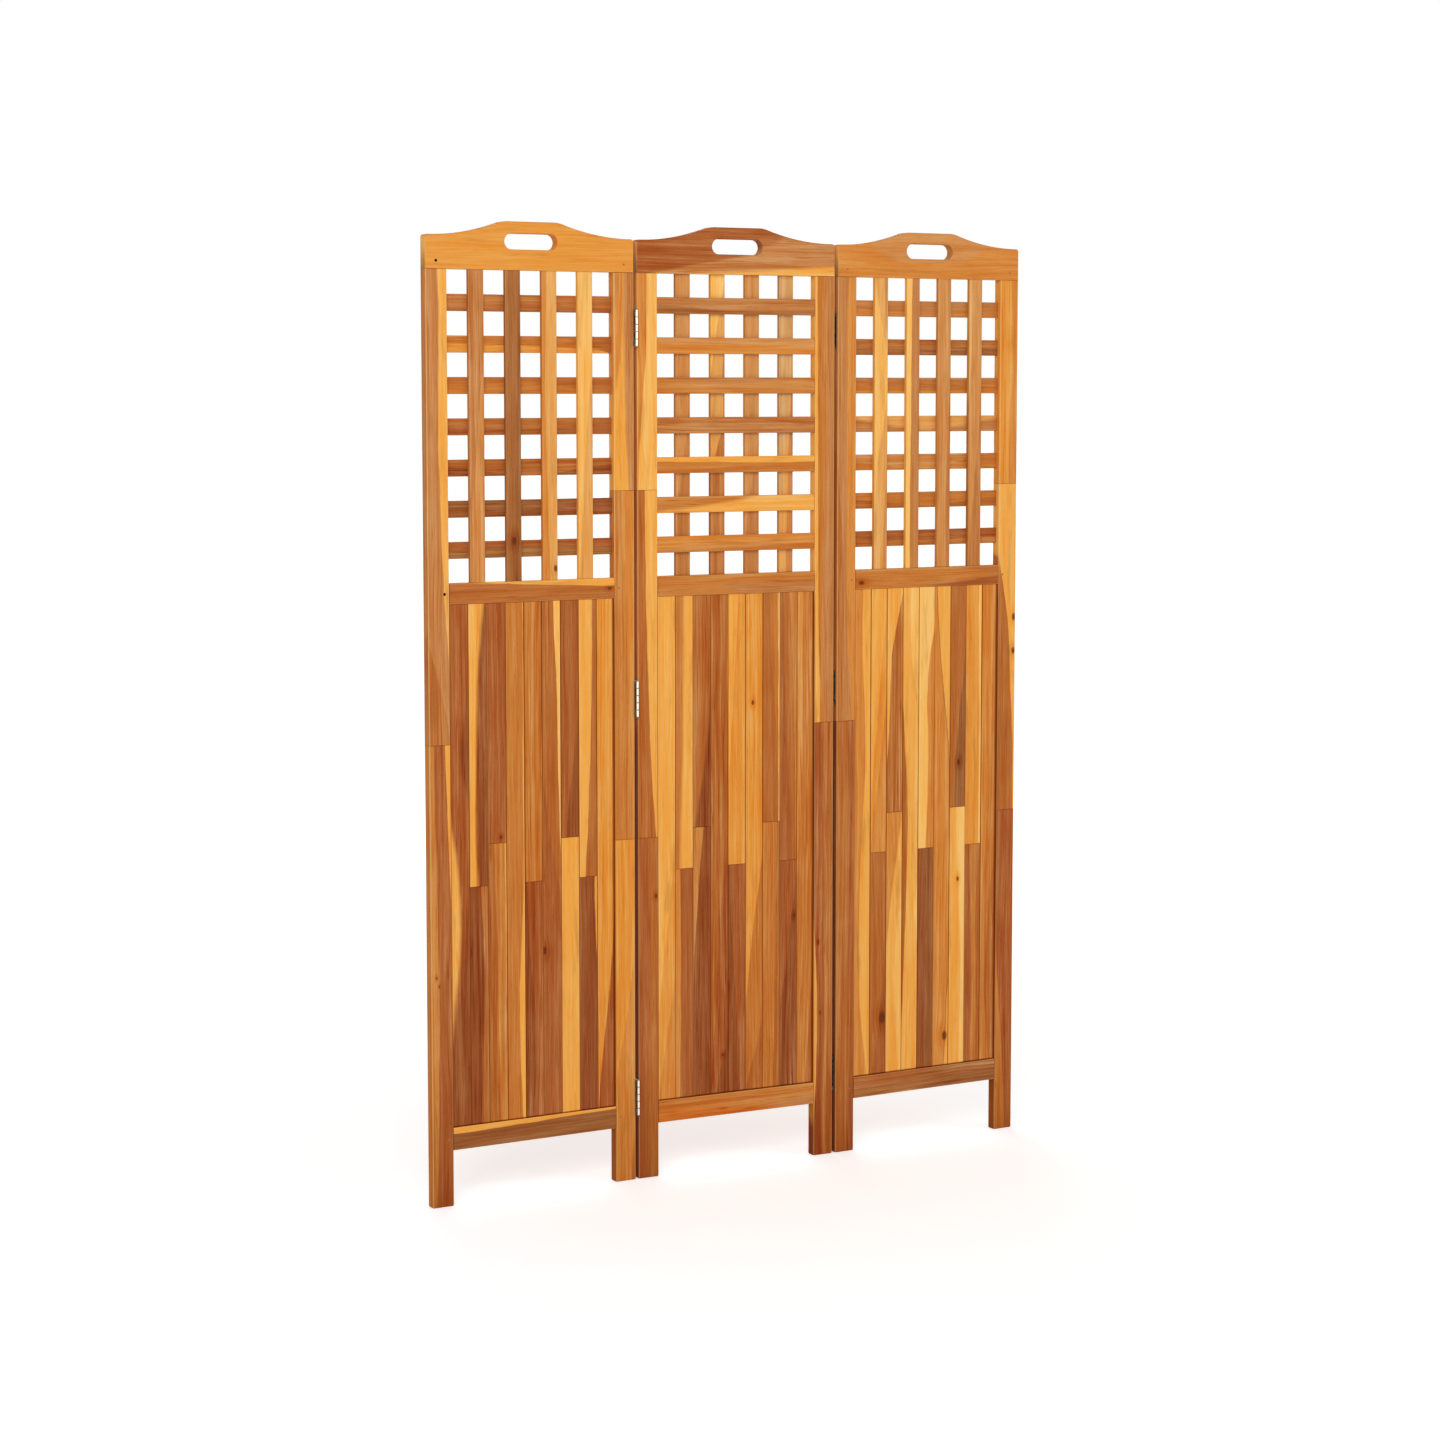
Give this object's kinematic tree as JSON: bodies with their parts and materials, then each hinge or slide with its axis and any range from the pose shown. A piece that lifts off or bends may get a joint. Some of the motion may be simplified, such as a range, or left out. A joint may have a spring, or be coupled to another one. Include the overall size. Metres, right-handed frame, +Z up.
{
  "type": "room divider",
  "caption": "Folding screen of hinged acacia panels: an open lattice above, upright boards below, and a raised top rail with a hand slot.",
  "frame": {"origin": "middle of the middle panel's foot line, on the floor", "axes": "+X to the right along the middle panel, +Y to the back, +Z up"},
  "size_m": [1.213, 0.0536, 1.7],
  "materials": {
    "acacia_top_rail": "oiled acacia, satin",
    "acacia_stile": "oiled acacia, satin",
    "acacia_rail": "oiled acacia, satin",
    "acacia_slat": "oiled acacia, satin",
    "acacia_board": "oiled acacia, satin",
    "hinge_steel": "satin zinc",
    "nail_steel": "dull"
  },
  "bodies": {
    "middle_panel": {"left_bottom_hinge_fixed_leaf": "hinge_steel", "left_bottom_hinge_pin": "hinge_steel", "left_middle_hinge_fixed_leaf": "hinge_steel", "left_middle_hinge_pin": "hinge_steel", "left_top_hinge_fixed_leaf": "hinge_steel", "left_top_hinge_pin": "hinge_steel", "middle_panel_boards": "acacia_board", "middle_panel_bottom_rail": "acacia_rail", "middle_panel_crossbars": "acacia_slat", "middle_panel_hinge_screws": "hinge_steel", "middle_panel_left_stile": "acacia_stile", "middle_panel_mid_rail": "acacia_rail", "middle_panel_nails": "nail_steel", "middle_panel_right_stile": "acacia_stile", "middle_panel_top_rail": "acacia_top_rail", "middle_panel_upright_1": "acacia_slat", "middle_panel_upright_2": "acacia_slat", "middle_panel_upright_3": "acacia_slat", "middle_panel_upright_4": "acacia_slat", "right_bottom_hinge_fixed_leaf": "hinge_steel", "right_bottom_hinge_pin": "hinge_steel", "right_middle_hinge_fixed_leaf": "hinge_steel", "right_middle_hinge_pin": "hinge_steel", "right_top_hinge_fixed_leaf": "hinge_steel", "right_top_hinge_pin": "hinge_steel"},
    "left_panel": {"left_bottom_hinge_swing_leaf": "hinge_steel", "left_middle_hinge_swing_leaf": "hinge_steel", "left_panel_boards": "acacia_board", "left_panel_bottom_rail": "acacia_rail", "left_panel_crossbars": "acacia_slat", "left_panel_hinge_screws": "hinge_steel", "left_panel_left_stile": "acacia_stile", "left_panel_mid_rail": "acacia_rail", "left_panel_nails": "nail_steel", "left_panel_right_stile": "acacia_stile", "left_panel_top_rail": "acacia_top_rail", "left_panel_upright_1": "acacia_slat", "left_panel_upright_2": "acacia_slat", "left_panel_upright_3": "acacia_slat", "left_panel_upright_4": "acacia_slat", "left_top_hinge_swing_leaf": "hinge_steel"},
    "right_panel": {"right_bottom_hinge_swing_leaf": "hinge_steel", "right_middle_hinge_swing_leaf": "hinge_steel", "right_panel_boards": "acacia_board", "right_panel_bottom_rail": "acacia_rail", "right_panel_crossbars": "acacia_slat", "right_panel_hinge_screws": "hinge_steel", "right_panel_left_stile": "acacia_stile", "right_panel_mid_rail": "acacia_rail", "right_panel_nails": "nail_steel", "right_panel_right_stile": "acacia_stile", "right_panel_top_rail": "acacia_top_rail", "right_panel_upright_1": "acacia_slat", "right_panel_upright_2": "acacia_slat", "right_panel_upright_3": "acacia_slat", "right_panel_upright_4": "acacia_slat", "right_top_hinge_swing_leaf": "hinge_steel"}
  },
  "joints": [
    {"name": "left_fold", "type": "hinge", "parent": "middle_panel", "child": "left_panel", "pos_m": [-0.203, -0.0133, 0], "axis": [0, 0, 1], "range_deg": [-2.4, 177.6]},
    {"name": "right_fold", "type": "hinge", "parent": "middle_panel", "child": "right_panel", "pos_m": [0.203, 0.0133, 0], "axis": [0, 0, 1], "range_deg": [-2.4, 177.6]}
  ]
}
